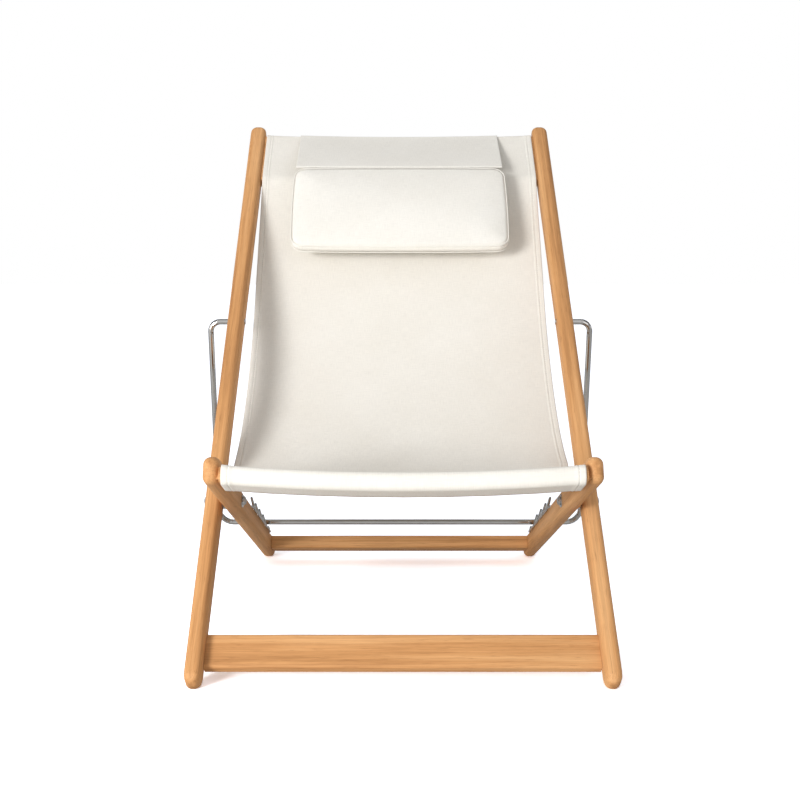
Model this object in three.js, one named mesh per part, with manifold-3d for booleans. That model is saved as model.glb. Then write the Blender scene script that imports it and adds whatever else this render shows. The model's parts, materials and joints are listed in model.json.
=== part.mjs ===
// Folding deck chair: a long back frame, a seat frame hinged to it on two pivot bolts, a bent steel
// support bail that props the two apart, and a cloth sling with a hanging head pillow.
// Millimetres, +Z up, the chair faces -Y. Origin: middle of the footprint, on the floor.
import * as THREE from 'three';
import { mergeVertices } from 'three/addons/utils/BufferGeometryUtils.js';
import Module from 'manifold-3d';

const wasm = await Module();
wasm.setup();

const rad = THREE.MathUtils.degToRad;
const GAP = 0.3; // clearance left between pieces that touch

// ---- Driving dimensions -------------------------------------------------------------------------
const BACK = {
  slope: rad(43.2), // long rails above the floor
  length: 1184, // between the centres of the two rounded ends
  depth: 37,
  railX: 287.5, // middle of a long rail
  footThickness: 24,
  headThickness: 31,
  edge: 10.5,
};
const SEAT = {
  depth: 38,
  railX: 257.5,
  thickness: 24,
  ahead: 217, // pivot to the centre of the front rounded end
  behind: 497.6, // pivot to the centre of the rear rounded end
  edge: 10,
};
const PIVOT_ALONG = 286.7; // pivot, from the foot centre along a long rail
const BAIL = {
  hinge: 664.2, // bail hinge, from the foot centre along a long rail
  rodRadius: 5,
  armX: 333,
  shoulderBend: 17,
  cornerBend: 26,
  rest: [349, 24.4], // cross rod seen from the seat frame: behind the pivot, above the rail's middle
  stubProud: 2,
};
const HEAD_BOARD = { width: 137, top: 1175, thickness: 22, edge: 5, tenon: 10, bow: 7 };
const FRONT_BOARD = { width: 70, rear: -172, middle: -8, thickness: 22, edge: 8, tenon: 9, bow: 9.5 };
const FRONT_STRETCHER = { width: 51.5, middle: 35.9, offset: -8.5, thickness: 18, edge: 5, tenon: 9 };
const REAR_STRETCHER = { width: 48, middle: 455, offset: 0, thickness: 24, edge: 5, tenon: 9 };
const BOLT = { shank: 4, head: 7, headHeight: 3, nut: 7, nutHeight: 4, washer: 10, washerThick: 1.5 };
const SPACER_RADIUS = 13;
const RACK = {
  wire: 2,
  x: 243.1, // just inside a seat rail's inner face
  start: 118,
  end: 386,
  low: 12, // the wire's height between humps, from the rail's middle
  humps: [137, 194, 251, 308],
  top: 30,
  lip: [372, 18.7], // a low hump behind the cross rod, under its path as the chair folds
  half: 5, // half a hump's width
  foot: 1.5,
  lean: 5.5, // how far a full hump's top leans out over the rail
  inset: 12, // how far each end is let into the rail
};
const CLOTH = { half: 1, headHalfWidth: 268.5, frontHalfWidth: 242, sag: 210, bow: 9.5 };
const CLOTH_NARROWS = [90, -40]; // behind and ahead of the pivot, where the cloth narrows for the seat
const PILLOW = {
  width: 411, height: 188, thickness: 48, corner: 14, puff: 12, top: 1029, tilt: rad(52), lift: 36,
};
const STRAP = { halfWidth: 200, half: 0.9, clear: 0.6, hang: 95, behind: 0.2 };
const WEIGHT = { height: 85, thickness: 14, edge: 5, below: 1.5 };
const TENON = { shoulder: 24, share: 0.5, root: 4 }; // narrower than its board, part of its thickness
const DRILL = 60; // length of a cutter that goes right through a rail

const ROUND = 16; // sides of a turned part
const DOME_RINGS = 7; // rings from a rail's tip to where its full section starts
const TIP = 0.2; // part of the first ring's step at which the dome is cut flat
const SQUARING = 4; // how late a dome's round sections turn into the rail's own
const FULLNESS = 0.74; // a dome's profile: 1 is a half ellipse, less is fuller
const FOOT_RADIUS = BACK.depth / 2;
const halfRun = BACK.length * Math.cos(BACK.slope) / 2;
const foot = new THREE.Vector2(-halfRun, FOOT_RADIUS); // side view: (y, z)

// Side-view frames: "along" a frame's rails and "up" from their plane.
const backAlong = new THREE.Vector2(Math.cos(BACK.slope), Math.sin(BACK.slope));
const backUp = new THREE.Vector2(-backAlong.y, backAlong.x);
const pivot = foot.clone().addScaledVector(backAlong, PIVOT_ALONG);
const seatSlope = Math.asin((pivot.y - SEAT.depth / 2) / SEAT.behind);
const seatAlong = new THREE.Vector2(Math.cos(seatSlope), -Math.sin(seatSlope));
const seatUp = new THREE.Vector2(-seatAlong.y, seatAlong.x);
const onBack = (along, up) =>
  foot.clone().addScaledVector(backAlong, along).addScaledVector(backUp, up);
const onSeat = (along, up) =>
  pivot.clone().addScaledVector(seatAlong, along).addScaledVector(seatUp, up);
const hinge = onBack(BAIL.hinge, 0);
const rod = onSeat(...BAIL.rest);
const armLength = rod.distanceTo(hinge);
const armAngle = Math.atan2(rod.y - hinge.y, rod.x - hinge.x);

// ---- Solids -------------------------------------------------------------------------------------
// Takes an outline drawn as (y, z) and extruded to that plane, its depth along +x.
const SIDE_ON = new THREE.Matrix4().makeBasis(
  new THREE.Vector3(0, 1, 0), new THREE.Vector3(0, 0, 1), new THREE.Vector3(1, 0, 0));

// Takes an outline drawn as (up, x) and extruded along y.
const ALONG_Y = new THREE.Matrix4().makeBasis(
  new THREE.Vector3(0, 0, 1), new THREE.Vector3(1, 0, 0), new THREE.Vector3(0, 1, 0));

function solid(geometry) {
  const bare = geometry.clone();
  bare.deleteAttribute('normal');
  bare.deleteAttribute('uv');
  const merged = mergeVertices(bare, 1e-4);
  return new wasm.Manifold(new wasm.Mesh({
    numProp: 3,
    vertProperties: new Float32Array(merged.attributes.position.array),
    triVerts: new Uint32Array(merged.index.array),
  }));
}

function geometryOf(manifold) {
  const { vertProperties, triVerts } = manifold.getMesh();
  const geometry = new THREE.BufferGeometry();
  geometry.setAttribute('position', new THREE.BufferAttribute(vertProperties, 3));
  geometry.setIndex(new THREE.BufferAttribute(triVerts, 1));
  geometry.computeVertexNormals();
  return geometry;
}

const moved = (geometry, x, y, z) => geometry.translate(x, y, z);

function reshape(geometry, change) {
  const place = geometry.attributes.position;
  const point = new THREE.Vector3();
  for (let i = 0; i < place.count; i++) {
    point.fromBufferAttribute(place, i);
    change(point);
    place.setXYZ(i, point.x, point.y, point.z);
  }
  return geometry;
}

// An outline extruded to a full thickness, its long edges rounded; centred on the extrusion axis.
function slab(outline, thickness, edge, axes, options = {}) {
  const geometry = new THREE.ExtrudeGeometry(outline, {
    depth: thickness - 2 * edge,
    bevelEnabled: edge > 0,
    bevelThickness: edge,
    bevelSize: edge,
    bevelOffset: -edge,
    bevelSegments: 2,
    curveSegments: 6,
    ...options,
  });
  geometry.translate(0, 0, edge - thickness / 2);
  return geometry.applyMatrix4(axes);
}

const box = (width, along, height) => new THREE.BoxGeometry(width, along, height);

// A turned piece on the x axis: profile points are (radius, x), from the axis back to the axis.
function turned(profile) {
  const geometry = new THREE.LatheGeometry(profile.map(([r, x]) => new THREE.Vector2(r, x)), ROUND);
  return geometry.rotateZ(-Math.PI / 2);
}

const pin = (radius, length) =>
  new THREE.CylinderGeometry(radius, radius, length, ROUND).rotateZ(Math.PI / 2);

// A path of fixed points, each joint mitred, for bent rod and wire.
class BentPath extends THREE.Curve {
  constructor(points) {
    super();
    this.points = points;
  }
  getPointAt(u, target = new THREE.Vector3()) {
    return target.copy(this.points[Math.round(u * (this.points.length - 1))]);
  }
  getTangentAt(u, target = new THREE.Vector3()) {
    const i = Math.round(u * (this.points.length - 1));
    const before = this.points[Math.max(i - 1, 0)];
    const after = this.points[Math.min(i + 1, this.points.length - 1)];
    return target.copy(after).sub(before).normalize();
  }
}

function bentRod(points, radius, sides) {
  const section = new THREE.Shape();
  section.setFromPoints(Array.from({ length: sides }, (_, i) => {
    const turn = 2 * Math.PI * i / sides;
    return new THREE.Vector2(radius * Math.cos(turn), radius * Math.sin(turn));
  }));
  return new THREE.ExtrudeGeometry(section, {
    steps: points.length - 1,
    extrudePath: new BentPath(points),
  });
}

// Points round a bend of the given radius at a corner, coming from one point and going to another.
function bend(from, corner, to, radius, steps = 6) {
  const back = from.clone().sub(corner).normalize();
  const on = to.clone().sub(corner).normalize();
  const half = back.angleTo(on) / 2;
  const centre = back.clone().add(on).normalize().multiplyScalar(radius / Math.sin(half)).add(corner);
  const first = corner.clone().addScaledVector(back, radius / Math.tan(half)).sub(centre);
  const last = corner.clone().addScaledVector(on, radius / Math.tan(half)).sub(centre);
  const axis = first.clone().cross(last).normalize();
  const sweep = first.angleTo(last);
  return Array.from({ length: steps + 1 }, (_, i) =>
    first.clone().applyAxisAngle(axis, sweep * i / steps).add(centre));
}

// ---- Frames, bodies and materials ---------------------------------------------------------------
const chair = new THREE.Group();
const backFrame = new THREE.Group(); // x, along the long rails, up from their plane
backFrame.position.set(0, foot.x, foot.y);
backFrame.rotation.x = BACK.slope;
const seatFrame = new THREE.Group(); // x, along the seat rails to the rear, up from their plane
seatFrame.position.set(0, pivot.x, pivot.y);
seatFrame.rotation.x = -seatSlope;
const bailFrame = new THREE.Group(); // x, along the bail's arms from hinge to cross rod
bailFrame.position.set(0, hinge.x, hinge.y);
bailFrame.rotation.x = armAngle;
chair.add(backFrame, seatFrame, bailFrame);

const finish = (color, roughness, metalness) =>
  new THREE.MeshStandardMaterial({ color, roughness, metalness });
const wood = () => finish(0xc98f56, 0.55, 0);
const steel = () => finish(0xb9bbbd, 0.25, 1);
const cloth = () => finish(0xece8df, 0.9, 0);

function add(parent, name, shape, material) {
  const geometry = shape.isBufferGeometry ? shape : geometryOf(shape);
  const mesh = new THREE.Mesh(geometry, material);
  mesh.name = name;
  parent.add(mesh);
}

const SIDES = [['left', -1], ['right', 1]];

// ---- Wooden rails and boards --------------------------------------------------------------------
// A rail with rounded long edges and ball-like ends, lying along +y from the origin.
function rail(length, depth, startThickness, endThickness, edge) {
  const radius = depth / 2;
  const widest = Math.max(startThickness, endThickness);
  const dome = Array.from({ length: DOME_RINGS + 1 }, (_, i) => {
    const turn = Math.max(i, TIP) / DOME_RINGS * Math.PI / 2;
    return [-radius * Math.cos(turn) ** FULLNESS, Math.sin(turn) ** FULLNESS]; // place, share of section
  });
  const rings = [...dome, ...dome.map(([at, share]) => [length - at, share]).reverse()];
  const body = new THREE.ExtrudeGeometry(roundedEnds(depth, widest, edge), {
    depth: rings.length - 1, bevelEnabled: false, curveSegments: 5, steps: rings.length - 1,
  });
  body.applyMatrix4(ALONG_Y);
  reshape(body, (p) => {
    const [at, share] = rings[Math.round(p.y)];
    const part = THREE.MathUtils.clamp(at / length, 0, 1);
    const half = THREE.MathUtils.lerp(startThickness, endThickness, part) / 2;
    const x = p.x * half / (widest / 2);
    const corner = Math.hypot(x / half, p.z / radius);
    const scale = share * THREE.MathUtils.lerp(1 / corner, 1, share ** SQUARING);
    p.set(x * scale, at, p.z * scale);
  });
  return solid(body);
}

// A curved or straight board between two rails, its tenons let into them; centred on y = 0.
function board(shape, span) {
  const { width, thickness, edge, tenon, bow = 0 } = shape;
  const half = span / 2 - GAP;
  const strips = bow ? 8 : 1;
  const geometry = new THREE.ExtrudeGeometry(roundedEnds(width, thickness, edge), {
    depth: 2 * half, bevelEnabled: false, curveSegments: 3, steps: strips,
  });
  geometry.translate(0, 0, -half).applyMatrix4(SIDE_ON);
  reshape(geometry, (p) => {
    p.z -= bowDepth(p.x, half, bow);
  });
  const tongue = box(2 * (half + tenon), width - TENON.shoulder, thickness * TENON.share);
  const between = box(2 * (half - TENON.root), width, thickness);
  return solid(geometry).add(solid(tongue).subtract(solid(between)));
}

// A board's section: width by thickness with rounded corners, drawn about the origin.
function roundedEnds(width, thickness, edge) {
  const a = width / 2 - edge;
  const b = thickness / 2 - edge;
  const outline = new THREE.Shape();
  outline.absarc(a, b, edge, 0, Math.PI / 2, false);
  outline.absarc(-a, b, edge, Math.PI / 2, Math.PI, false);
  outline.absarc(-a, -b, edge, Math.PI, 1.5 * Math.PI, false);
  outline.absarc(a, -b, edge, 1.5 * Math.PI, 2 * Math.PI, false);
  outline.closePath();
  return outline;
}

const bowDepth = (x, half, bow) => bow * Math.max(0, 1 - (x / half) ** 2);

// The mortise that a board's tenon needs in a rail.
function mortise(shape, x, along, up) {
  const pocket = box(2 * (shape.tenon + GAP), shape.width - TENON.shoulder + 2 * GAP,
    shape.thickness * TENON.share + 2 * GAP);
  return solid(moved(pocket, x, along, up));
}

const backThickness = (along) =>
  THREE.MathUtils.lerp(BACK.footThickness, BACK.headThickness, along / BACK.length);
const innerBack = (along) => BACK.railX - backThickness(along) / 2;
const outerBack = (along) => BACK.railX + backThickness(along) / 2;
const innerSeat = SEAT.railX - SEAT.thickness / 2;
const outerSeat = SEAT.railX + SEAT.thickness / 2;
const headMiddle = HEAD_BOARD.top - HEAD_BOARD.width / 2;
const frontMiddle = FRONT_BOARD.rear - FRONT_BOARD.width / 2;
const boltHole = BOLT.shank + GAP;
const rodHole = BAIL.rodRadius + GAP;

for (const [side, sign] of SIDES) {
  const long = rail(BACK.length, BACK.depth, BACK.footThickness, BACK.headThickness, BACK.edge)
    .translate([sign * BACK.railX, 0, 0])
    .subtract(mortise(HEAD_BOARD, sign * innerBack(headMiddle), headMiddle, 0))
    .subtract(mortise(FRONT_STRETCHER, sign * innerBack(FRONT_STRETCHER.middle),
      FRONT_STRETCHER.middle, FRONT_STRETCHER.offset))
    .subtract(solid(moved(pin(boltHole, DRILL), sign * BACK.railX, PIVOT_ALONG, 0)))
    .subtract(solid(moved(pin(rodHole, DRILL), sign * BACK.railX, BAIL.hinge, 0)));
  add(backFrame, `long_rail_${side}`, long, wood());

  const wireDepth = RACK.x + RACK.inset + GAP - innerSeat;
  const wireHoles = [RACK.start, RACK.end].map((along) =>
    solid(moved(pin(RACK.wire + GAP, 2 * wireDepth), sign * innerSeat, along, RACK.low)));
  const seat = rail(SEAT.ahead + SEAT.behind, SEAT.depth, SEAT.thickness, SEAT.thickness, SEAT.edge)
    .translate([sign * SEAT.railX, -SEAT.ahead, 0])
    .subtract(mortise(FRONT_BOARD, sign * innerSeat, frontMiddle, FRONT_BOARD.middle))
    .subtract(mortise(REAR_STRETCHER, sign * innerSeat, REAR_STRETCHER.middle, REAR_STRETCHER.offset))
    .subtract(solid(moved(pin(boltHole, DRILL), sign * SEAT.railX, 0, 0)))
    .subtract(wireHoles[0])
    .subtract(wireHoles[1]);
  add(seatFrame, `seat_rail_${side}`, seat, wood());
}

const placed = (manifold, along, up) => manifold.translate([0, along, up]);
add(backFrame, 'head_board',
  placed(board(HEAD_BOARD, 2 * innerBack(headMiddle)), headMiddle, 0), wood());
add(backFrame, 'front_stretcher',
  placed(board(FRONT_STRETCHER, 2 * innerBack(FRONT_STRETCHER.middle)),
    FRONT_STRETCHER.middle, FRONT_STRETCHER.offset), wood());
add(seatFrame, 'front_board',
  placed(board(FRONT_BOARD, 2 * innerSeat), frontMiddle, FRONT_BOARD.middle), wood());
add(seatFrame, 'rear_stretcher',
  placed(board(REAR_STRETCHER, 2 * innerSeat), REAR_STRETCHER.middle, REAR_STRETCHER.offset), wood());

// ---- Pivot bolts, spacers, washers and cap nuts -------------------------------------------------
for (const [side, sign] of SIDES) {
  const face = outerBack(PIVOT_ALONG) + GAP;
  const nutStart = innerSeat - 2 * GAP - BOLT.washerThick; // the nut's face, against the washer
  const shankEnd = nutStart - BOLT.nutHeight + 1.5;
  const bolt = turned([
    [0, face + BOLT.headHeight], [BOLT.head * 0.6, face + BOLT.headHeight * 0.8], [BOLT.head, face],
    [BOLT.shank, face], [BOLT.shank, shankEnd], [0, shankEnd],
  ].reverse());
  const washer = (radius, low, high) =>
    turned([[boltHole, low], [radius, low], [radius, high], [boltHole, high], [boltHole, low]]);
  const nut = turned([
    [0, nutStart - BOLT.nutHeight - 1], [BOLT.nut * 0.7, nutStart - BOLT.nutHeight],
    [BOLT.nut, nutStart - BOLT.nutHeight * 0.5], [BOLT.nut, nutStart], [boltHole, nutStart],
    [boltHole, shankEnd - GAP], [0, shankEnd - GAP],
  ]);
  const pieces = {
    pivot_bolt: bolt,
    pivot_spacer: washer(SPACER_RADIUS, outerSeat + GAP, innerBack(PIVOT_ALONG) - GAP),
    pivot_washer: washer(BOLT.washer, nutStart + GAP, innerSeat - GAP),
    pivot_nut: nut,
  };
  for (const [name, piece] of Object.entries(pieces)) {
    if (sign < 0) piece.rotateZ(Math.PI);
    add(backFrame, `${name}_${side}`, moved(piece, 0, PIVOT_ALONG, 0), steel());
  }
}

// ---- Support bail -------------------------------------------------------------------------------
// One steel rod: stubs through the long rails, arms outside them, a cross rod over the seat rails.
{
  const stub = innerBack(BAIL.hinge) - BAIL.stubProud;
  const at = (x, y) => new THREE.Vector3(x, y, 0);
  const half = [
    at(stub, 0),
    ...bend(at(stub, 0), at(BAIL.armX, 0), at(BAIL.armX, armLength), BAIL.shoulderBend),
    ...bend(at(BAIL.armX, 0), at(BAIL.armX, armLength), at(0, armLength), BAIL.cornerBend),
  ];
  const mirrored = half.map((p) => at(-p.x, p.y)).reverse();
  add(bailFrame, 'support_bail', bentRod([...half, ...mirrored], BAIL.rodRadius, 12), steel());
}

// ---- Notch racks --------------------------------------------------------------------------------
// Middle line of one hump of the rack wire, as (along, up) in the seat frame.
function hump(middle, top) {
  const { half, foot, low } = RACK;
  const steps = 6;
  return [
    [middle - half - foot, low], [middle - half, low + foot],
    ...Array.from({ length: steps + 1 }, (_, i) => {
      const turn = Math.PI * i / steps;
      return [middle - half * Math.cos(turn), top - half + half * Math.sin(turn)];
    }),
    [middle + half, low + foot], [middle + half + foot, low],
  ];
}

// The wire's distance from the chair's middle: its humps lean outward over the rail.
const rackX = (up) => RACK.x + RACK.lean * Math.max(0, up - RACK.low) / (RACK.top - RACK.low);

// A wire along each seat rail's inner face, its humps the stops for the cross rod, its ends let
// into the rail.
for (const [side, sign] of SIDES) {
  const { x, start, end, low, inset, humps, top, lip, wire, foot } = RACK;
  const at = (across, along, up) => new THREE.Vector3(sign * across, along, up);
  const turnIn = 1.5 * wire;
  const humped = [...humps.flatMap((middle) => hump(middle, top)), ...hump(...lip)];
  const path = [
    at(x + inset, start, low),
    ...bend(at(x + inset, start, low), at(x, start, low), at(x, start + foot, low), turnIn, 4),
    ...humped.map(([along, up]) => at(rackX(up), along, up)),
    ...bend(at(x, end - foot, low), at(x, end, low), at(x + inset, end, low), turnIn, 4),
    at(x + inset, end, low),
  ];
  add(seatFrame, `notch_rack_${side}`, bentRod(path, wire, 8), steel());
}

// ---- Soft parts ---------------------------------------------------------------------------------
// A strip of cloth seen from the side: its middle line thickened by half either way.
function strip(line, half) {
  const normals = line.map((p, i) => {
    const before = line[Math.max(i - 1, 0)];
    const after = line[Math.min(i + 1, line.length - 1)];
    const along = after.clone().sub(before).normalize();
    return new THREE.Vector2(-along.y, along.x);
  });
  const one = line.map((p, i) => p.clone().addScaledVector(normals[i], half));
  const other = line.map((p, i) => p.clone().addScaledVector(normals[i], -half)).reverse();
  return new THREE.Shape([...one, ...other]);
}

// Cloth on a middle line, from x = -1 to 1 until it's widened.
const clothSheet = (line, half, steps) => slab(strip(line, half), 2, 0, SIDE_ON, { steps });

// Points of an arc in a frame's own side coordinates, from one angle to another, in degrees.
function arc(place, along, up, radius, from, to, steps = 5) {
  return Array.from({ length: steps + 1 }, (_, i) => {
    const angle = rad(from + (to - from) * i / steps);
    return place(along + radius * Math.cos(angle), up + radius * Math.sin(angle));
  });
}

// Cloth's middle line round the back frame's head board, at a distance from the board's surface.
function overHead(offset, backEnd) {
  const { top, thickness, edge } = HEAD_BOARD;
  const radius = edge + offset;
  const inset = thickness / 2 - edge;
  return [
    onBack(backEnd, -thickness / 2 - offset),
    ...arc(onBack, top - edge, -inset, radius, -90, 0),
    ...arc(onBack, top - edge, inset, radius, 0, 90),
  ];
}

const clothOffset = GAP + CLOTH.half;
const headFoot = HEAD_BOARD.top - HEAD_BOARD.width;
const leaveHead = onBack(headFoot + 4, HEAD_BOARD.thickness / 2 + clothOffset);
const frontTop = FRONT_BOARD.middle + FRONT_BOARD.thickness / 2 + clothOffset;
const meetFront = onSeat(FRONT_BOARD.rear - 6, frontTop);

// The free cloth hangs in a parabola between the two boards.
function hangingCloth(steps = 20) {
  return Array.from({ length: steps + 1 }, (_, i) => {
    const part = i / steps;
    const point = leaveHead.clone().lerp(meetFront, part);
    point.y -= 4 * CLOTH.sag * part * (1 - part);
    return point;
  });
}

function slingLine() {
  const { width, rear, middle, thickness, edge } = FRONT_BOARD;
  const nose = rear - width + edge;
  const inset = thickness / 2 - edge;
  const radius = edge + clothOffset;
  return [
    ...overHead(clothOffset, headFoot + 20),
    ...hangingCloth(),
    ...arc(onSeat, nose, middle + inset, radius, 90, 180),
    ...arc(onSeat, nose, middle - inset, radius, 180, 270),
    onSeat(rear - 22, middle - thickness / 2 - clothOffset),
  ];
}

// Cloth follows the bow of the boards, square to the back frame at the head and to the seat in front.
function followBow(point, halfWidth) {
  const part = THREE.MathUtils.smoothstep(-point.y, -leaveHead.x, -meetFront.x);
  const down = backUp.clone().lerp(seatUp, part).normalize();
  const depth = bowDepth(point.x, halfWidth, THREE.MathUtils.lerp(HEAD_BOARD.bow, CLOTH.bow, part));
  point.y -= down.x * depth;
  point.z -= down.y * depth;
}

{
  const line = slingLine();
  const sheet = clothSheet(line, CLOTH.half, 8);
  const [behind, ahead] = CLOTH_NARROWS;
  reshape(sheet, (p) => {
    const part = 1 - THREE.MathUtils.smoothstep(p.y - pivot.x, ahead, behind);
    p.x *= THREE.MathUtils.lerp(CLOTH.headHalfWidth, CLOTH.frontHalfWidth, part);
    followBow(p, THREE.MathUtils.lerp(innerBack(headMiddle), innerSeat, part));
  });
  add(chair, 'sling', sheet, cloth());
}

const strapOffset = clothOffset + CLOTH.half + STRAP.clear + STRAP.half;
const backEdge = onBack(HEAD_BOARD.top - HEAD_BOARD.edge - 4, -HEAD_BOARD.thickness / 2 - strapOffset);
{
  const over = overHead(strapOffset, HEAD_BOARD.top - HEAD_BOARD.edge - 4);
  const line = [
    new THREE.Vector2(backEdge.x + STRAP.behind, backEdge.y - STRAP.hang),
    ...over,
    onBack(PILLOW.top + 2, PILLOW.lift + 1),
  ];
  const sheet = clothSheet(line, STRAP.half, 6);
  reshape(sheet, (p) => {
    p.x *= STRAP.halfWidth;
    followBow(p, innerBack(headMiddle));
  });
  add(chair, 'headrest_strap', sheet, cloth());
}
{
  const pouch = slab(roundedEnds(WEIGHT.thickness, WEIGHT.height, WEIGHT.edge), 2 * STRAP.halfWidth,
    0, SIDE_ON, { steps: 6, curveSegments: 2 });
  moved(pouch, 0, backEdge.x + STRAP.behind, backEdge.y - STRAP.hang - WEIGHT.height / 2 - WEIGHT.below);
  reshape(pouch, (p) => followBow(p, innerBack(headMiddle)));
  add(chair, 'headrest_counterweight', pouch, cloth());
}
{
  const { width, height, thickness, corner, puff, tilt, lift } = PILLOW;
  const flat = new THREE.Matrix4();
  const pad = slab(roundedEnds(width, height, corner), thickness, puff, flat, { curveSegments: 3 });
  const top = onBack(PILLOW.top, lift);
  pad.translate(0, -height / 2, 0);
  const mesh = pad.rotateX(tilt);
  add(chair, 'headrest_pillow', moved(mesh, 0, top.x, top.y), cloth());
}

export default chair;
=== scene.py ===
import json
import math

import bmesh
import bpy
import numpy as np
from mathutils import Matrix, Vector
from mathutils.kdtree import KDTree

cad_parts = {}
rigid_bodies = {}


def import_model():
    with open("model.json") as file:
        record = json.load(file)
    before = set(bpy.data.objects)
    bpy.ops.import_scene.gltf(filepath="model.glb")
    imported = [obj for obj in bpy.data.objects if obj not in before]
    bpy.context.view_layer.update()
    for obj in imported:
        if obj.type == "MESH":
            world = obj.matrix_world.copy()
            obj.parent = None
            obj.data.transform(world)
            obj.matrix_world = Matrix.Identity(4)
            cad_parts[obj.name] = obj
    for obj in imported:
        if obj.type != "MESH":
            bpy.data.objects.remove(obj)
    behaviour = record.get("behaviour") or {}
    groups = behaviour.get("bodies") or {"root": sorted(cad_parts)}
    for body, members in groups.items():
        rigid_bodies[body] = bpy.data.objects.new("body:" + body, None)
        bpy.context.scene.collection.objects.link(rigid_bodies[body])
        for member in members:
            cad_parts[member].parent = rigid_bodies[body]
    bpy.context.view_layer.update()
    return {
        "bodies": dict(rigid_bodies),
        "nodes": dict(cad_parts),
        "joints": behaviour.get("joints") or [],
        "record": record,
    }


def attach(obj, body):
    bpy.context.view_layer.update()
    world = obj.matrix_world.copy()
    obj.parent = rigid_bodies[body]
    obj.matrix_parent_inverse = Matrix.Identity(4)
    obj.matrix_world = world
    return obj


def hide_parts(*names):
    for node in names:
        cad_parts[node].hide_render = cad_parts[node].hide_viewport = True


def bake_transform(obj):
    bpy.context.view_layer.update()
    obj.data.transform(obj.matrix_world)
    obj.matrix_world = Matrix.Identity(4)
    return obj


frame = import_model()
nodes = frame["nodes"]

# ---- Camera -------------------------------------------------------------------------------------
CAMERA_PLACE = (-0.017, -1.8794, 0.590)
CAMERA_DIP = 7.53  # degrees below level

camera_data = bpy.data.cameras.new("camera")
camera_data.lens = 49.5
camera_data.sensor_width = 36
camera_data.shift_x = 0.01175
camera = bpy.data.objects.new("camera", camera_data)
camera.location = CAMERA_PLACE
camera.rotation_euler = (math.radians(90 - CAMERA_DIP), 0, 0)
bpy.context.scene.collection.objects.link(camera)
bpy.context.scene.camera = camera

# ---- Driving dimensions, in metres, as in the CAD ------------------------------------------------
SLOPE = math.radians(43.2)
RAIL_LENGTH = 1.184
RAIL_DEPTH = 0.037
RAIL_X = 0.2875
FOOT_THICKNESS, HEAD_THICKNESS = 0.024, 0.031
SEAT_DEPTH, SEAT_X, SEAT_THICKNESS = 0.038, 0.2575, 0.024
SEAT_BEHIND = 0.4976
PIVOT_ALONG = 0.2867
HEAD = {"width": 0.137, "top": 1.175, "thickness": 0.022, "edge": 0.005, "bow": 0.007}
FRONT = {"width": 0.070, "rear": -0.172, "middle": -0.008, "thickness": 0.022, "edge": 0.008}
GAP = 0.0003
CLOTH_HALF = 0.001
HEAD_CLOTH_X, FRONT_CLOTH_X = 0.2685, 0.242
SAG, CLOTH_BOW = 0.210, 0.0095
NARROWS = (0.090, -0.040)
STRAP_X, STRAP_HALF, STRAP_CLEAR, STRAP_HANG, STRAP_BEHIND = 0.200, 0.0009, 0.0006, 0.095, 0.0002
PILLOW = {"width": 0.411, "height": 0.188, "thickness": 0.048, "top": 1.029, "lift": 0.036}
PILLOW_TILT = math.radians(52)
WEIGHT = {"height": 0.085, "thickness": 0.014, "below": 0.0015}

half_run = RAIL_LENGTH * math.cos(SLOPE) / 2
foot = np.array([-half_run, RAIL_DEPTH / 2])  # side view: (y, z)
back_along = np.array([math.cos(SLOPE), math.sin(SLOPE)])
back_up = np.array([-back_along[1], back_along[0]])
pivot = foot + back_along * PIVOT_ALONG
seat_slope = math.asin((pivot[1] - SEAT_DEPTH / 2) / SEAT_BEHIND)
seat_along = np.array([math.cos(seat_slope), -math.sin(seat_slope)])
seat_up = np.array([-seat_along[1], seat_along[0]])


def on_back(along, up):
    return foot + back_along * along + back_up * up


def on_seat(along, up):
    return pivot + seat_along * along + seat_up * up


def smoothstep(x, low, high):
    t = min(1.0, max(0.0, (x - low) / (high - low)))
    return t * t * (3 - 2 * t)


def mix(a, b, t):
    return a + (b - a) * t


def make_piece(name, verts, faces, material, uvs=None, closed=False):
    """A smooth piece; uvs are its cloth coordinates by vertex, and a closed one is made to face out."""
    mesh = bpy.data.meshes.new(name)
    mesh.from_pydata(verts, [], faces)
    if uvs:
        layer = mesh.uv_layers.new(name="cloth")
        for loop in mesh.loops:
            layer.data[loop.index].uv = uvs[loop.vertex_index]
    if closed:
        fixed = bmesh.new()
        fixed.from_mesh(mesh)
        bmesh.ops.recalc_face_normals(fixed, faces=fixed.faces)
        fixed.to_mesh(mesh)
        fixed.free()
    for polygon in mesh.polygons:
        polygon.use_smooth = True
    mesh.materials.append(material)
    piece = bpy.data.objects.new(name, mesh)
    bpy.context.scene.collection.objects.link(piece)
    return piece


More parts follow.
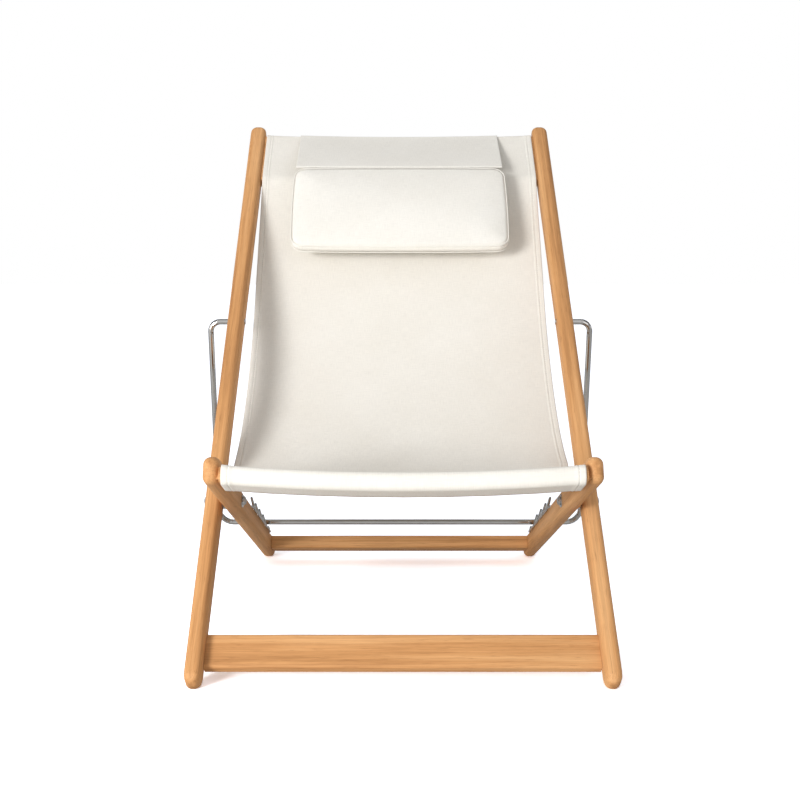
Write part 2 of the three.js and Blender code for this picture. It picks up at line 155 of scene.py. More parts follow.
# ---- Materials -----------------------------------------------------------------------------------
class Shader:
    """A node material, built link by link."""

    def __init__(self, name):
        self.material = bpy.data.materials.new(name)
        self.material.use_nodes = True
        self.tree = self.material.node_tree
        self.surface = self.tree.nodes["Principled BSDF"]

    def node(self, kind, inputs=None, **settings):
        made = self.tree.nodes.new(kind)
        for key, value in settings.items():
            setattr(made, key, value)
        for key, value in (inputs or {}).items():
            self.feed(made.inputs[key], value)
        return made

    def feed(self, socket, value):
        if isinstance(value, bpy.types.NodeSocket):
            self.tree.links.new(value, socket)
        else:
            socket.default_value = value

    def math(self, operation, a, b=0.0, c=0.0):
        return self.node("ShaderNodeMath", {0: a, 1: b, 2: c}, operation=operation).outputs[0]

    def ramp(self, value, stops):
        made = self.node("ShaderNodeValToRGB", {"Fac": value})
        elements = made.color_ramp.elements
        while len(elements) < len(stops):
            elements.new(0.5)
        for element, (place, colour) in zip(elements, stops):
            element.position = place
            element.color = (*colour, 1)
        return made.outputs["Color"]

    def noise(self, vector, scale, detail=4.0, roughness=0.55):
        return self.node("ShaderNodeTexNoise", {
            "Vector": vector, "Scale": scale, "Detail": detail, "Roughness": roughness,
        }).outputs["Fac"]

    def blend(self, mode, factor, a, b):
        made = self.node("ShaderNodeMix", data_type="RGBA", blend_type=mode)
        self.feed(made.inputs[0], factor)
        self.feed(made.inputs[6], a)
        self.feed(made.inputs[7], b)
        return made.outputs[2]

    def bump(self, height, strength, distance, normal=None):
        made = self.node("ShaderNodeBump", {
            "Height": height, "Strength": strength, "Distance": distance})
        if normal is not None:
            self.feed(made.inputs["Normal"], normal)
        return made.outputs["Normal"]


WOOD_DARK = (0.330, 0.150, 0.055)
WOOD_MID = (0.590, 0.300, 0.120)
WOOD_LIGHT = (0.760, 0.440, 0.205)


def wood(name, turn, seed):
    """Teak-like wood with its grain along y once the coordinates are turned by `turn`."""
    s = Shader(name)
    place = s.node("ShaderNodeTexCoord").outputs["Object"]
    lined = s.node("ShaderNodeMapping", {"Vector": place, "Rotation": turn}).outputs[0]
    lined = s.node("ShaderNodeMapping", {"Vector": lined, "Location": seed}).outputs[0]

    def stretched(across, along):
        return s.node("ShaderNodeMapping", {
            "Vector": lined, "Scale": (across, along, across)}).outputs[0]

    drift = s.noise(stretched(9, 2.0), 1.0, 3.0)
    figure = s.noise(stretched(55, 1.7), 1.0, 5.0, 0.62)
    fibre = s.noise(stretched(420, 7), 1.0, 6.0, 0.7)
    pores = s.noise(stretched(1500, 34), 1.0, 2.0, 0.5)
    tone = s.math("ADD", s.math("MULTIPLY", figure, 0.72), s.math("MULTIPLY", drift, 0.28))
    colour = s.ramp(tone, [(0.30, WOOD_DARK), (0.47, WOOD_MID), (0.68, WOOD_LIGHT)])
    streak = s.ramp(fibre, [(0.25, (0.72, 0.66, 0.60)), (0.62, (1.06, 1.05, 1.03))])
    colour = s.blend("MULTIPLY", 0.8, colour, streak)
    pitted = s.ramp(pores, [(0.30, (0.45, 0.38, 0.32)), (0.38, (1, 1, 1))])
    colour = s.blend("MULTIPLY", 0.55, colour, pitted)
    s.feed(s.surface.inputs["Base Color"], colour)
    s.feed(s.surface.inputs["Roughness"], s.math("MULTIPLY_ADD", fibre, 0.20, 0.46))
    relief = s.bump(pores, 0.25, 0.0003, s.bump(fibre, 0.35, 0.0004))
    s.feed(s.surface.inputs["Normal"], relief)
    s.surface.inputs["Specular IOR Level"].default_value = 0.22
    return s.material


def canvas(name, colour, thread=0.0011):
    """Plain-woven off-white cloth; the weave runs by the mesh's own cloth coordinates, in metres."""
    s = Shader(name)
    place = s.node("ShaderNodeUVMap", uv_map="cloth").outputs["UV"]
    split = s.node("ShaderNodeSeparateXYZ", {0: place})
    turns = 2 * math.pi / thread
    across = s.math("SINE", s.math("MULTIPLY", split.outputs[0], turns))
    along = s.math("SINE", s.math("MULTIPLY", split.outputs[1], turns))
    weave = s.math("MULTIPLY", across, along)
    slub = s.noise(s.node("ShaderNodeMapping", {
        "Vector": place, "Scale": (900, 60, 1)}).outputs[0], 1.0, 3.0)
    slub_across = s.noise(s.node("ShaderNodeMapping", {
        "Vector": place, "Scale": (60, 900, 1)}).outputs[0], 1.0, 3.0)
    cloudy = s.noise(place, 9.0, 3.0)
    yarn = s.math("MULTIPLY", s.math("ADD", slub, slub_across), 0.5)
    darker = tuple(c * 0.90 for c in colour)
    base = s.ramp(yarn, [(0.35, darker), (0.62, colour)])
    tint = s.ramp(cloudy, [(0.3, (0.965, 0.960, 0.950)), (0.7, (1, 1, 1))])
    base = s.blend("MULTIPLY", 1.0, base, tint)
    woven = s.ramp(s.math("MULTIPLY_ADD", weave, 0.5, 0.5), [(0.0, (0.90, 0.895, 0.885)), (1.0, (1, 1, 1))])
    base = s.blend("MULTIPLY", 0.4, base, woven)
    s.feed(s.surface.inputs["Base Color"], base)
    s.feed(s.surface.inputs["Roughness"], s.math("MULTIPLY_ADD", yarn, 0.12, 0.80))
    s.surface.inputs["Sheen Weight"].default_value = 0.06
    s.surface.inputs["Sheen Roughness"].default_value = 0.5
    relief = s.bump(weave, 0.35, 0.00025, s.bump(yarn, 0.3, 0.0003))
    s.feed(s.surface.inputs["Normal"], relief)
    return s.material


def steel(name, colour, roughness, brushed):
    """Bare steel, a little smudged; brushed is how rough and deep its fine marks are."""
    s = Shader(name)
    place = s.node("ShaderNodeTexCoord").outputs["Object"]
    marks = s.noise(s.node("ShaderNodeMapping", {
        "Vector": place, "Scale": (300, 900, 900)}).outputs[0], 1.0, 4.0)
    smudge = s.noise(place, 22.0, 3.0)
    tone = s.ramp(smudge, [(0.3, tuple(c * 0.93 for c in colour)), (0.7, colour)])
    s.feed(s.surface.inputs["Base Color"], tone)
    s.surface.inputs["Metallic"].default_value = 1.0
    s.feed(s.surface.inputs["Roughness"], s.math("MULTIPLY_ADD", marks, brushed, roughness))
    s.feed(s.surface.inputs["Normal"], s.bump(marks, brushed, 0.0001))
    return s.material


along_back = (-SLOPE, 0, 0)
along_seat = (seat_slope, 0, 0)
across = (0, 0, math.pi / 2)
looks = {
    "long_rail_left": wood("wood_long_left", along_back, (0.0, 0.0, 0.0)),
    "long_rail_right": wood("wood_long_right", along_back, (3.1, 1.7, 0.4)),
    "seat_rail_left": wood("wood_seat_left", along_seat, (5.3, 2.9, 1.1)),
    "seat_rail_right": wood("wood_seat_right", along_seat, (7.7, 4.1, 2.3)),
    "head_board": wood("wood_head", across, (9.1, 5.9, 3.7)),
    "front_stretcher": wood("wood_front_stretcher", across, (11.9, 6.1, 4.9)),
    "front_board": wood("wood_front_board", across, (13.3, 7.7, 5.3)),
    "rear_stretcher": wood("wood_rear_stretcher", across, (15.1, 8.3, 6.1)),
}
bail_steel = steel("steel_bail", (0.52, 0.51, 0.495), 0.08, 0.05)
fitting_steel = steel("steel_fittings", (0.55, 0.55, 0.55), 0.12, 0.10)
sling_cloth = canvas("cloth_sling", (0.86, 0.828, 0.765))
pillow_cloth = canvas("cloth_pillow", (0.875, 0.85, 0.795))


def thread(name, colour):
    """Sewing thread, its plies darker between them."""
    s = Shader(name)
    place = s.node("ShaderNodeTexCoord").outputs["Object"]
    ply = s.noise(place, 2200.0, 2.0)
    darker = tuple(c * 0.8 for c in colour)
    s.feed(s.surface.inputs["Base Color"], s.ramp(ply, [(0.35, darker), (0.65, colour)]))
    s.feed(s.surface.inputs["Roughness"], s.math("MULTIPLY_ADD", ply, 0.2, 0.6))
    s.feed(s.surface.inputs["Normal"], s.bump(ply, 0.3, 0.0001))
    return s.material


thread_look = thread("thread", (0.70, 0.68, 0.63))

for name, cad in nodes.items():
    material = looks.get(name)
    if material is None:
        material = bail_steel if name == "support_bail" else fitting_steel
    cad.data.materials.clear()
    cad.data.materials.append(material)


# ---- Cloth ---------------------------------------------------------------------------------------
def arc(place, along, up, radius, start, end, steps=12):
    """Points of an arc in degrees, about (along, up) in the frame that place() maps to the side view."""
    return [place(along + radius * math.cos(a), up + radius * math.sin(a))
            for a in np.radians(np.linspace(start, end, steps + 1))]


def over_head(offset, back_end):
    """From back_end behind the head board, over its top edge to its front, that far off its surface."""
    radius = HEAD["edge"] + offset
    inset = HEAD["thickness"] / 2 - HEAD["edge"]
    top = HEAD["top"] - HEAD["edge"]
    return [on_back(back_end, -HEAD["thickness"] / 2 - offset),
            *arc(on_back, top, -inset, radius, -90, 0), *arc(on_back, top, inset, radius, 0, 90)]


cloth_offset = GAP + CLOTH_HALF
head_foot = HEAD["top"] - HEAD["width"]
leave_head = on_back(head_foot + 0.004, HEAD["thickness"] / 2 + cloth_offset)
meet_front = on_seat(FRONT["rear"] - 0.006, FRONT["middle"] + FRONT["thickness"] / 2 + cloth_offset)


def hanging_cloth(steps=80):
    """The free cloth between the boards, a parabola that sags by SAG."""
    points = []
    for part in np.linspace(0, 1, steps + 1):
        point = mix(leave_head, meet_front, part)
        points.append(point - np.array([0, 4 * SAG * part * (1 - part)]))
    return points


def sling_line():
    """The whole sling in the side view, from behind the head board to under the front board."""
    nose = FRONT["rear"] - FRONT["width"] + FRONT["edge"]
    inset = FRONT["thickness"] / 2 - FRONT["edge"]
    radius = FRONT["edge"] + cloth_offset
    under = FRONT["middle"] - FRONT["thickness"] / 2 - cloth_offset
    return [*over_head(cloth_offset, head_foot + 0.020), *hanging_cloth(),
            *arc(on_seat, nose, FRONT["middle"] + inset, radius, 90, 180),
            *arc(on_seat, nose, FRONT["middle"] - inset, radius, 180, 270),
            on_seat(FRONT["rear"] - 0.022, under)]


def evenly(line, step):
    """The line resampled at about that step, keeping tight turns."""
    line = np.array(line)
    lengths = np.r_[0, np.cumsum(np.linalg.norm(np.diff(line, axis=0), axis=1))]
    keep = np.unique(np.r_[np.arange(0, lengths[-1], step), lengths[-1], lengths[
        np.r_[True, np.diff(lengths) < step * 0.8]]])
    keep = keep[np.r_[True, np.diff(keep) > 1e-5]]
    return np.c_[np.interp(keep, lengths, line[:, 0]), np.interp(keep, lengths, line[:, 1])], keep


HEAD_BOARD_SHARE = 0.94  # how far up the long rails the head board is
inner_back = RAIL_X - mix(FOOT_THICKNESS, HEAD_THICKNESS, HEAD_BOARD_SHARE) / 2
inner_seat = SEAT_X - SEAT_THICKNESS / 2


def follow_bow(x, y, z, half_width):
    """A point let down into the dip of the bowed boards; half_width is the span they bow over."""
    part = smoothstep(-y, -leave_head[0], -meet_front[0])
    down = mix(back_up, seat_up, part)
    down = down / np.linalg.norm(down)
    depth = mix(HEAD["bow"], CLOTH_BOW, part) * max(0.0, 1 - (x / half_width) ** 2)
    return y - down[0] * depth, z - down[1] * depth


def columns(hem, step):
    """Places across a cloth from -1 to 1, close together at each hem; hem and step are shares."""
    near = [0, 0.12, 0.35, 0.45, 0.55, 0.75, 0.95, 1.05]
    left = [-1 + hem * n for n in near]
    middle = list(np.linspace(left[-1], -left[-1], max(3, int(2 * -left[-1] / step)) + 1))[1:-1]
    return left + middle + [-x for x in reversed(left)]


def cloth_mesh(name, rows, across_places, point, half, material):
    """A sheet from point(row, u), thickened by half either way and given cloth coordinates."""
    verts, uvs = [], []
    for i in range(len(rows)):
        for u in across_places:
            place, uv = point(i, u)
            verts.append(place)
            uvs.append(uv)
    wide = len(across_places)
    faces = [(i * wide + j, i * wide + j + 1, (i + 1) * wide + j + 1, (i + 1) * wide + j)
             for i in range(len(rows) - 1) for j in range(wide - 1)]
    piece = make_piece(name, verts, faces, material, uvs)
    thick = piece.modifiers.new("thickness", "SOLIDIFY")
    thick.thickness = 2 * half
    thick.offset = 0
    return piece


HEM = 0.0125  # width of the folded hem down each side
STITCH_IN = 0.009  # the stitching, from the cloth's edge
HEM_RISE = 0.0006  # a hem's extra height over the cloth
GROOVE = 0.0007  # depth of the line that the stitching pulls in
CURL, CURL_SHARP = 0.0055, 9  # how far the free edges curl forward, and how close to the edge
CURL_STARTS, CURL_ENDS = (0.03, 0.17), (0.24, 0.38)  # shares of the free cloth, from the head


def normals_of(rows):
    """The side of each row that faces up and forward, in the side view."""
    step = np.gradient(rows, axis=0)
    step /= np.linalg.norm(step, axis=1)[:, None]
    return np.c_[-step[:, 1], step[:, 0]] * -1


def hem_relief(inward):
    """Height of a hem over the cloth beside it, by the distance in from the edge."""
    step = HEM_RISE * (1 - smoothstep(inward, HEM - 0.0010, HEM + 0.0005))
    return step - GROOVE * math.exp(-((inward - STITCH_IN) / 0.0011) ** 2)


sling_rows, sling_along = evenly(sling_line(), 0.008)
sling_out = normals_of(sling_rows)
free_from = float(sling_along[np.argmin(np.linalg.norm(sling_rows - leave_head, axis=1))])
free_to = float(sling_along[np.argmin(np.linalg.norm(sling_rows - meet_front, axis=1))])


def sling_point(i, u, lift=0.0):
    """A point of row i at u from -1 to 1 across the cloth, and its cloth coordinates."""
    y, z = sling_rows[i]
    part = 1 - smoothstep(y - pivot[0], NARROWS[1], NARROWS[0])
    half_width = mix(HEAD_CLOTH_X, FRONT_CLOTH_X, part)
    x = u * half_width
    free = min(1.0, max(0.0, (sling_along[i] - free_from) / (free_to - free_from)))
    curl = CURL * smoothstep(free, *CURL_STARTS) * (1 - smoothstep(free, *CURL_ENDS))
    curl *= abs(u) ** CURL_SHARP
    out = sling_out[i] * (lift + curl + hem_relief(half_width - abs(x)))
    y, z = follow_bow(x, y, z, mix(inner_back, inner_seat, part))
    return (x, y + out[0], z + out[1]), (x, sling_along[i])


def hem_columns(half_width, step=0.009):
    """Places across a cloth from -1 to 1, close together over each hem and its stitching."""
    near = [0, 0.002, 0.005, 0.007, 0.0082, 0.009, 0.0098, 0.0106, 0.0115, 0.0122, 0.013, 0.015, 0.020]
    left = [-1 + n / half_width for n in near]
    count = int(-2 * left[-1] * half_width / step)
    middle = list(np.linspace(left[-1], -left[-1], count + 1))[1:-1]
    return left + middle + [-x for x in reversed(left)]


STITCH_LENGTH, STITCH_GAP, THREAD = 0.0034, 0.0012, 0.00045  # THREAD is its radius


def stitching(name, lengths, place, half, sides):
    """Rows of short thread stitches on the cloth; place(length along, side, lift) is on its face."""
    verts, faces = [], []
    ring = [(math.cos(a), math.sin(a)) for a in np.linspace(0, 2 * math.pi, 7)[:-1]]
    for side in sides:
        at = STITCH_GAP
        while at + STITCH_LENGTH < lengths[-1]:
            ends = [Vector(place(at, side, half)), Vector(place(at + STITCH_LENGTH, side, half))]
            along = (ends[1] - ends[0]).normalized()
            wide = Vector((1, 0, 0))
            out = along.cross(wide).normalized()
            base = len(verts)
            for part, size in ((0.0, 0.4), (0.15, 1.0), (0.85, 1.0), (1.0, 0.4)):
                middle = ends[0].lerp(ends[1], part)
                verts += [middle + (wide * a + out * b) * THREAD * size for a, b in ring]
            for k in range(3):
                for n in range(6):
                    a, b = base + 6 * k + n, base + 6 * k + (n + 1) % 6
                    faces.append((a, b, b + 6, a + 6))
            faces.append(tuple(base + n for n in range(6)))
            faces.append(tuple(base + 18 + n for n in reversed(range(6))))
            at += STITCH_LENGTH + STITCH_GAP
    return make_piece(name, verts, faces, thread_look, closed=True)


def sling_stitch_place(at, side, lift):
    """A point on the sling's stitching line at that length along the cloth."""
    i = min(len(sling_along) - 2, int(np.searchsorted(sling_along, at, side="right")) - 1)
    share = (at - sling_along[i]) / (sling_along[i + 1] - sling_along[i])
    ends = []
    for k in (i, i + 1):
        part = 1 - smoothstep(sling_rows[k][0] - pivot[0], NARROWS[1], NARROWS[0])
        half_width = mix(HEAD_CLOTH_X, FRONT_CLOTH_X, part)
        ends.append(np.array(sling_point(k, side * (1 - STITCH_IN / half_width), lift)[0]))
    return mix(ends[0], ends[1], share)


sling = cloth_mesh("sling_cloth", sling_rows, hem_columns(HEAD_CLOTH_X), sling_point, CLOTH_HALF,
                   sling_cloth)
sling_stitches = stitching("sling_stitches", sling_along, sling_stitch_place, CLOTH_HALF, (-1, 1))
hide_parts("sling")
for crossing in (sling, sling_stitches):
    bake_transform(crossing)

STRAP_REACH = (0.007, 0.005)  # the strap's lower end, along and up from the pillow's top
strap_offset = cloth_offset + CLOTH_HALF + STRAP_CLEAR + STRAP_HALF
strap_top = HEAD["top"] - HEAD["edge"] - 0.004
back_edge = on_back(strap_top, -HEAD["thickness"] / 2 - strap_offset)
strap_line = [np.array([back_edge[0] + STRAP_BEHIND, back_edge[1] - STRAP_HANG]),
              *over_head(strap_offset, strap_top),
              on_back(PILLOW["top"] + STRAP_REACH[0], PILLOW["lift"] + STRAP_REACH[1])]
strap_rows, strap_along = evenly(strap_line, 0.006)
strap_leaves = strap_along[-1] - float(np.linalg.norm(np.array(strap_line[-1]) - np.array(strap_line[-2])))


def strap_point(i, u):
    """A point of the strap, which bows with the head board and is straight where the pillow starts."""
    x = u * STRAP_X
    bowed = np.array(follow_bow(x, *strap_rows[i], inner_back))
    y, z = mix(bowed, strap_rows[i], smoothstep(strap_along[i], strap_leaves, strap_along[-1]))
    return (x, y, z), (x, strap_along[i])


strap = cloth_mesh("strap_cloth", strap_rows, columns(0.08, 0.04), strap_point, STRAP_HALF, pillow_cloth)
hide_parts("headrest_strap")
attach(strap, "back_frame")


def inside_distance(x, y, half_x, half_y, corner):
    """How far a point is inside a rectangle with rounded corners."""
    dx, dy = abs(x) - half_x + corner, abs(y) - half_y + corner
    return corner - math.hypot(max(dx, 0), max(dy, 0)) - min(max(dx, dy), 0)


def outline_points(half_x, half_y, corner, step, pull):
    """A rounded rectangle's points, its sides bulged so that the corners draw in."""
    points = []
    for cx, cy, start in ((1, 1, 0), (-1, 1, 90), (-1, -1, 180), (1, -1, 270)):
        for a in np.radians(np.linspace(start, start + 90, 11)):
            points.append((cx * (half_x - corner) + corner * math.cos(a),
                           cy * (half_y - corner) + corner * math.sin(a)))
    points.append(points[0])
    full = []
    for a, b in zip(points, points[1:]):
        length = math.dist(a, b)
        if length < 1e-9:
            continue
        count = max(1, round(length / step))
        full += [(mix(a[0], b[0], k / count), mix(a[1], b[1], k / count)) for k in range(count)]
    return [(x * (1 - pull * (y / half_y) ** 2), y * (1 - pull * 2.2 * (x / half_x) ** 4)) for x, y in full]


OUTLINE_STEP = 0.006
GUSSET_BULGE, SIDE_STEPS = 0.0022, 8
FACE_RINGS, RING_CROWDING = 26, 1.6  # rings of a pad's face, closer together towards its seam
CROWN = 0.16  # share of a face's height lost from its middle to its corners
PUCKER_SPACING = 0.019


def box_pad(name, width, height, thickness, corner, seam, pull, puckers, fall, material):
    """A stuffed box pad about the origin: a crowned face, a bulging gusset between two piped seams."""
    half_x, half_y, half_z = width / 2, height / 2, thickness / 2
    bulge = GUSSET_BULGE
    outline = outline_points(half_x - bulge, half_y - bulge, corner, OUTLINE_STEP, pull)
    lengths = np.r_[0, np.cumsum([math.dist(a, b) for a, b in zip(outline, outline[1:])])]
    shares = [1 - (1 - k / FACE_RINGS) ** RING_CROWDING for k in range(1, FACE_RINGS + 1)]
    rings = []  # each is a list of (x, y, z) and cloth coordinates

    def face_ring(share, sign):
        ring = []
        for n, (x, y) in enumerate(outline):
            px, py = x * share, y * share
            inside = max(0.0, inside_distance(px, py, half_x - bulge, half_y - bulge, corner))
            rise = 1 - math.exp(-(inside / fall) ** 0.85)
            crown = 1 - CROWN * ((px / half_x) ** 2 + (py / half_y) ** 2)
            wave = lengths[n] * 2 * math.pi / PUCKER_SPACING + 1.3 * math.sin(lengths[n] * 31)
            pucker = puckers * math.sin(wave)
            pucker *= math.exp(-inside / 0.010) * min(1.0, inside / 0.003)
            z = seam + (half_z - seam) * rise * crown + pucker
            ring.append(((px, py, sign * z), (px, py)))
        return ring

    for share in shares:
        rings.append(face_ring(share, 1))
    for k in range(1, SIDE_STEPS):
        part = k / SIDE_STEPS
        z = seam * (1 - 2 * part)
        out = bulge * math.sin(math.pi * part)
        ring = []
        for n, (x, y) in enumerate(outline):
            size = math.hypot(x / half_x, y / half_y)
            nx, ny = x / half_x / size, y / half_y / size
            ring.append(((x + out * nx, y + out * ny, z), (lengths[n], seam + z)))
        rings.append(ring)
    for share in reversed(shares):
        rings.append(face_ring(share, -1))
    verts = [(0, 0, face_ring(0.0, 1)[0][0][2])]
    uvs = [(0, 0)]
    for ring in rings:
        verts += [v for v, _ in ring]
        uvs += [uv for _, uv in ring]
    verts.append((0, 0, -verts[0][2]))
    uvs.append((0, 0))
    count = len(outline)
    faces = [(0, 1 + n, 1 + (n + 1) % count) for n in range(count)]
    for r in range(len(rings) - 1):
        a, b = 1 + r * count, 1 + (r + 1) * count
        faces += [(a + n, b + n, b + (n + 1) % count, a + (n + 1) % count) for n in range(count)]
    last, end = 1 + (len(rings) - 1) * count, len(verts) - 1
    faces += [(end, last + (n + 1) % count, last + n) for n in range(count)]
    piece = make_piece(name, verts, faces, material, uvs, closed=True)
    welts = [welt(f"{name}_piping_{side}", [(x, y, sign * seam) for x, y in outline], material)
             for side, sign in (("front", 1), ("back", -1))]
    return piece, welts


PIPING = 0.0010  # radius of the cord in a seam
SEAM_DEPTH, SEAM_SPREAD = 0.0009, 0.0030  # the groove at a seam


def welt(name, points, material, sides=8):
    """A closed round cord of cloth along a flat loop."""
    verts, faces, uvs = [], [], []
    count = len(points)
    for n, point in enumerate(points):
        p = Vector(point)
        along = (Vector(points[(n + 1) % count]) - Vector(points[n - 1])).normalized()
        out = along.cross(Vector((0, 0, 1))).normalized()
        for k in range(sides):
            a = 2 * math.pi * k / sides
            verts.append(p + (out * math.cos(a) + Vector((0, 0, 1)) * math.sin(a)) * PIPING)
            uvs.append((PIPING * a, n * OUTLINE_STEP))
    for n in range(count):
        for k in range(sides):
            a, b = n * sides + k, n * sides + (k + 1) % sides
            c, d = ((n + 1) % count) * sides + k, ((n + 1) % count) * sides + (k + 1) % sides
            faces.append((a, b, d, c))
    return make_piece(name, verts, faces, material, uvs, closed=True)


VOXEL = 0.0055  # grid that a pad's cloth is remade on
HELD = 0.0048  # cloth this near a seam is held by it


def bake(piece):
    """Replace the piece's mesh by what its modifiers make of it."""
    shown = piece.evaluated_get(bpy.context.evaluated_depsgraph_get())
    mesh = bpy.data.meshes.new_from_object(shown)
    piece.modifiers.clear()
    piece.data = mesh
    mesh.name = piece.name


def inflate(piece, seams, cap, pressure=4.0, frames=20):
    """Swell a closed pad by cloth simulation, its seams held, no point moving further than the cap."""
    remesh = piece.modifiers.new("even", "REMESH")
    remesh.mode = "VOXEL"
    remesh.voxel_size = VOXEL
    bake(piece)
    start = np.array([tuple(v.co) for v in piece.data.vertices])
    seam_tree = KDTree(len(seams))
    for n, point in enumerate(seams):
        seam_tree.insert(point, n)
    seam_tree.balance()
    near = np.array([seam_tree.find(Vector(p))[2] for p in start])
    held = piece.vertex_groups.new(name="held")
    held.add([int(n) for n in np.nonzero(near < HELD)[0]], 1.0, "REPLACE")
    cloth = piece.modifiers.new("cloth", "CLOTH")
    cloth.settings.quality = 6
    cloth.settings.mass = 0.3
    cloth.settings.tension_stiffness = 8
    cloth.settings.compression_stiffness = 8
    cloth.settings.shear_stiffness = 4
    cloth.settings.bending_stiffness = 0.6
    cloth.settings.use_pressure = True
    cloth.settings.uniform_pressure_force = pressure
    cloth.settings.vertex_group_mass = "held"
    cloth.settings.effector_weights.gravity = 0
    cloth.point_cache.frame_end = frames
    scene = bpy.context.scene
    for frame in range(1, frames + 1):
        scene.frame_set(frame)
    shown = piece.evaluated_get(bpy.context.evaluated_depsgraph_get())
    swollen = np.array([tuple(v.co) for v in shown.data.vertices])
    piece.modifiers.clear()
    piece.vertex_groups.clear()
    scene.frame_set(1)
    move = swollen - start
    length = np.linalg.norm(move, axis=1)
    print(f"{piece.name}: the simulation moves points up to {length.max() * 1000:.1f} mm")
    start = start + move * np.minimum(1, cap / np.maximum(length, 1e-9))[:, None]
    for v, co in zip(piece.data.vertices, start):
        v.co = co
    smooth = piece.modifiers.new("smooth", "SUBSURF")
    smooth.levels = smooth.render_levels = 1
    bake(piece)
    for v in piece.data.vertices:
        apart = seam_tree.find(v.co)[2]
        v.co -= v.normal * SEAM_DEPTH * math.exp(-(apart / SEAM_SPREAD) ** 2)
    lay_cloth(piece)


def lay_cloth(piece):
    """Cloth coordinates on a pad about the origin: flat on its faces, and carried over its sides."""
    mesh = piece.data
    layer = mesh.uv_layers.get("cloth") or mesh.uv_layers.new(name="cloth")
    for loop in mesh.loops:
        v = mesh.vertices[loop.vertex_index]
        layer.data[loop.index].uv = (v.co.x + v.co.z * v.normal.x, v.co.y + v.co.z * v.normal.y)
    for polygon in mesh.polygons:
        polygon.use_smooth = True


def place_vertices(piece, put):
    for v in piece.data.vertices:
        v.co = put(*v.co)
    piece.data.update()


PILLOW_SEAM = 0.0085  # either seam, from the pillow's middle plane
PILLOW_TALLER, PILLOW_SLIMMER = 0.008, 0.006  # against the CAD's, before the pad swells
PILLOW_CAP = 0.008  # furthest that the pad's cloth moves as it swells
pillow, pillow_welts = box_pad(
    "pillow_pad", PILLOW["width"], PILLOW["height"] + PILLOW_TALLER, PILLOW["thickness"] - PILLOW_SLIMMER,
    corner=0.020, seam=PILLOW_SEAM, pull=0.012, puckers=0.0, fall=0.020, material=pillow_cloth)
pillow_seams = [v.co.copy() for welt_piece in pillow_welts for v in welt_piece.data.vertices]
inflate(pillow, pillow_seams, PILLOW_CAP)
pillow_top = on_back(PILLOW["top"], PILLOW["lift"])
tilt_cos, tilt_sin = math.cos(PILLOW_TILT), math.sin(PILLOW_TILT)


def on_pillow(x, y, z):
    y -= PILLOW["height"] / 2
    return (x, pillow_top[0] + y * tilt_cos - z * tilt_sin, pillow_top[1] + y * tilt_sin + z * tilt_cos)


pouch, pouch_welts = box_pad(
    "counterweight_pouch", 2 * STRAP_X, WEIGHT["height"], WEIGHT["thickness"],
    corner=0.008, seam=0.003, pull=0.006, puckers=0.0003, fall=0.010, material=pillow_cloth)
pouch_middle = (back_edge[0] + STRAP_BEHIND,
                back_edge[1] - STRAP_HANG - WEIGHT["height"] / 2 - WEIGHT["below"])


def on_pouch(x, y, z):
    return (x, *follow_bow(x, pouch_middle[0] + z, pouch_middle[1] + y, inner_back))


for pad, welts, put, node, fill in ((pillow, pillow_welts, on_pillow, "headrest_pillow", 0.7),
                                    (pouch, pouch_welts, on_pouch, "headrest_counterweight", 0.8)):
    for piece in (pad, *welts):
        place_vertices(piece, put)
        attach(piece, "back_frame")
    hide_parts(node)

# ---- Floor and light ------------------------------------------------------------------------------
FLOOR_SEEN = 2.05
FLOOR_SHADES = ((0.66, 0.66, 0.65), (0.69, 0.69, 0.68))
AMBIENT = 0.56
COOL = (1, 1.03, 1.10)  # tint of the floor as seen, against the warmth that the wood throws on it
floor_shader = Shader("floor")
floor_noise = floor_shader.noise(floor_shader.node("ShaderNodeTexCoord").outputs["Object"], 2.0)
floor_shader.feed(floor_shader.surface.inputs["Base Color"], floor_shader.ramp(
    floor_noise, [(0.3, FLOOR_SHADES[0]), (0.7, FLOOR_SHADES[1])]))
floor_shader.surface.inputs["Roughness"].default_value = 0.9
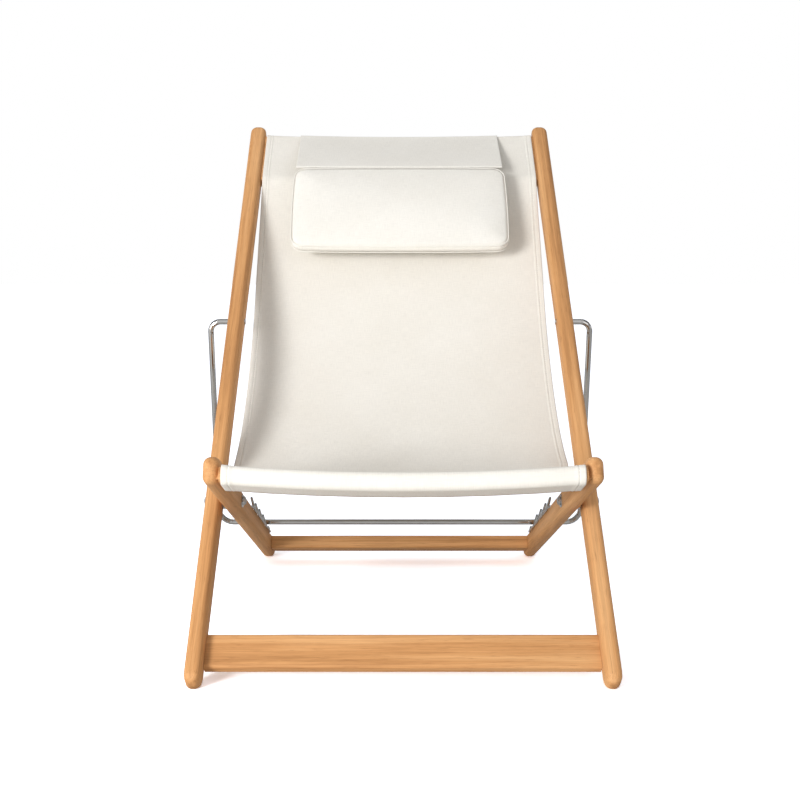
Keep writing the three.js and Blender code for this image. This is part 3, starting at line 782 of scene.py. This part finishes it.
# Seen directly, the floor is bright enough to burn out to white; it lights the chair only as pale grey.
bright = floor_shader.node("ShaderNodeBsdfDiffuse", {
    "Color": (*(FLOOR_SEEN * tint for tint in COOL), 1)})
floor_mix = floor_shader.node("ShaderNodeMixShader", {
    0: floor_shader.node("ShaderNodeLightPath").outputs["Is Camera Ray"],
    1: floor_shader.surface.outputs[0], 2: bright.outputs[0]})
floor_shader.feed(floor_shader.tree.nodes["Material Output"].inputs["Surface"], floor_mix.outputs[0])
bpy.ops.mesh.primitive_plane_add(size=40)
floor = bpy.context.object
floor.name = "floor"
floor.data.materials.append(floor_shader.material)

# The camera sees a white world, diffuse light from it is even, and reflections see it graded.
world = bpy.data.worlds.new("world")
world.use_nodes = True
sky = world.node_tree
height = sky.nodes.new("ShaderNodeSeparateXYZ")
sky.links.new(sky.nodes.new("ShaderNodeTexCoord").outputs["Generated"], height.inputs[0])
shades = sky.nodes.new("ShaderNodeValToRGB")
sky.links.new(height.outputs[2], shades.inputs["Fac"])
shades.color_ramp.elements[0].color = (0.95, 0.95, 0.96, 1)
for place, shade in ((0.20, 0.95), (0.38, 0.20), (0.75, 0.15), (1.0, 0.30)):
    stop = shades.color_ramp.elements.new(place)
    stop.color = (shade, shade, shade * 1.01, 1)
path = sky.nodes.new("ShaderNodeLightPath")
plain = sky.nodes.new("ShaderNodeMix")
seen = sky.nodes.new("ShaderNodeMix")
for switch, ray in ((plain, "Is Camera Ray"), (seen, "Is Glossy Ray")):
    switch.data_type = "RGBA"
    sky.links.new(path.outputs[ray], switch.inputs[0])
plain.inputs[6].default_value = (AMBIENT, AMBIENT, AMBIENT, 1)
plain.inputs[7].default_value = (1, 1, 1, 1)
sky.links.new(plain.outputs[2], seen.inputs[6])
sky.links.new(shades.outputs["Color"], seen.inputs[7])
sky.links.new(seen.outputs[2], sky.nodes["Background"].inputs[0])
sky.nodes["Background"].inputs[1].default_value = 1.0
bpy.context.scene.world = world
bpy.context.scene.view_settings.view_transform = "Standard"


def light(name, place, size, power):
    """A square soft light aimed at the middle of the chair."""
    data = bpy.data.lights.new(name, "AREA")
    data.size = size
    data.energy = power
    lamp = bpy.data.objects.new(name, data)
    lamp.location = place
    lamp.rotation_euler = (Vector((0, 0, 0.4)) - Vector(place)).to_track_quat("-Z", "Y").to_euler()
    bpy.context.scene.collection.objects.link(lamp)


light("key", (-2.25, -3.2, 1.0), 1.1, 136)
light("fill", (2.4, -2.6, 1.6), 2.5, 12)
